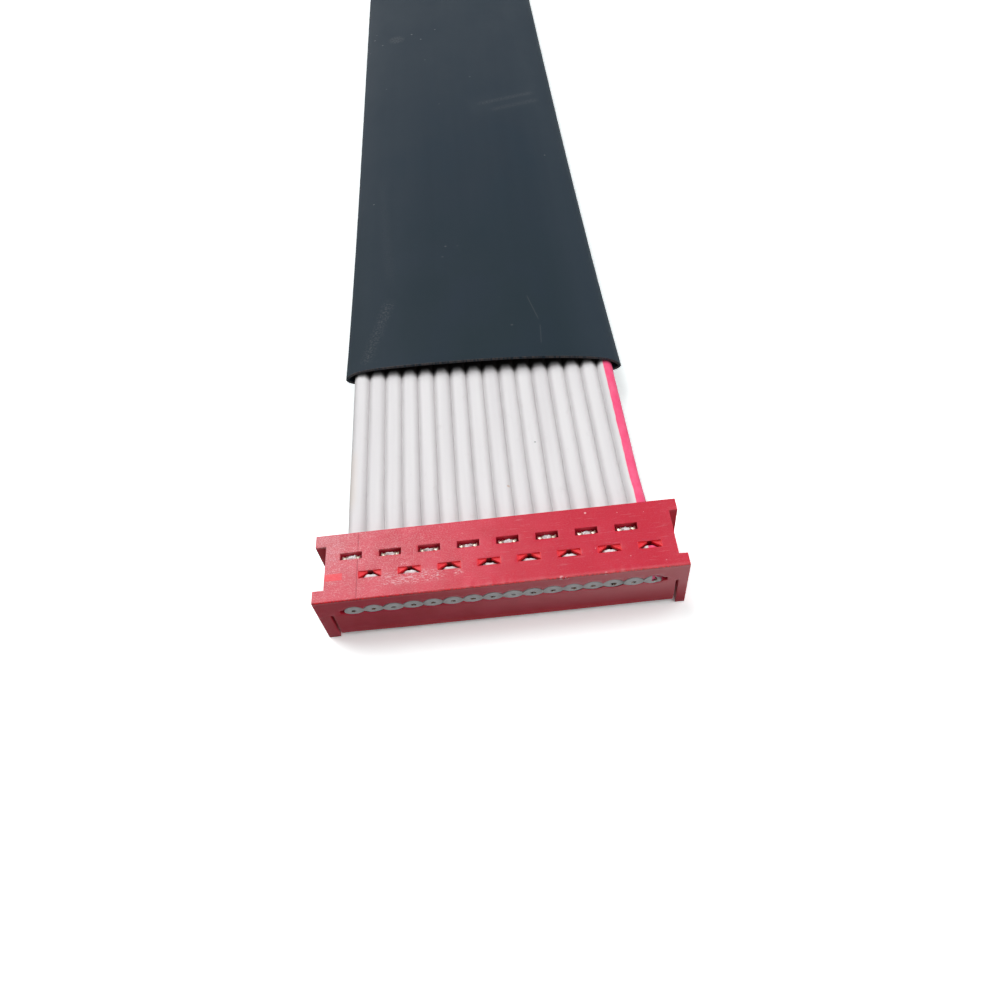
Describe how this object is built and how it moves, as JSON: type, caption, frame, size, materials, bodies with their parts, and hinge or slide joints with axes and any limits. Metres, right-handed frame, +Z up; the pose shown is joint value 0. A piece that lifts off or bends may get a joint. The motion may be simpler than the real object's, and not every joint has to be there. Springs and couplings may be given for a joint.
{
  "type": "flat ribbon cable assembly",
  "caption": "Flat grey ribbon cable with a striped edge, a black sleeve along its run and a red piercing connector on each end.",
  "frame": {"origin": "middle of the cable's length, on the surface that it lies on", "axes": "+Y along the cable towards connector B, +Z up out of the connectors' windowed tops, +X towards the striped edge"},
  "size_m": [0.0237, 0.3, 0.0046],
  "materials": {
    "red_plastic": "satin",
    "grey_insulation": "satin",
    "black_sleeve": "matte",
    "copper": "satin",
    "tin_plate": "satin"
  },
  "bodies": {
    "root": {"housing_a": "red_plastic", "housing_b": "red_plastic", "ribbon": "grey_insulation", "sleeve": "black_sleeve", "conductor_1": "copper", "conductor_2": "copper", "conductor_3": "copper", "conductor_4": "copper", "conductor_5": "copper", "conductor_6": "copper", "conductor_7": "copper", "conductor_8": "copper", "conductor_9": "copper", "conductor_10": "copper", "conductor_11": "copper", "conductor_12": "copper", "conductor_13": "copper", "conductor_14": "copper", "conductor_15": "copper", "conductor_16": "copper", "contact_a_1": "tin_plate", "contact_a_2": "tin_plate", "contact_a_3": "tin_plate", "contact_a_4": "tin_plate", "contact_a_5": "tin_plate", "contact_a_6": "tin_plate", "contact_a_7": "tin_plate", "contact_a_8": "tin_plate", "contact_a_9": "tin_plate", "contact_a_10": "tin_plate", "contact_a_11": "tin_plate", "contact_a_12": "tin_plate", "contact_a_13": "tin_plate", "contact_a_14": "tin_plate", "contact_a_15": "tin_plate", "contact_a_16": "tin_plate", "contact_b_1": "tin_plate", "contact_b_2": "tin_plate", "contact_b_3": "tin_plate", "contact_b_4": "tin_plate", "contact_b_5": "tin_plate", "contact_b_6": "tin_plate", "contact_b_7": "tin_plate", "contact_b_8": "tin_plate", "contact_b_9": "tin_plate", "contact_b_10": "tin_plate", "contact_b_11": "tin_plate", "contact_b_12": "tin_plate", "contact_b_13": "tin_plate", "contact_b_14": "tin_plate", "contact_b_15": "tin_plate", "contact_b_16": "tin_plate"}
  },
  "joints": []
}
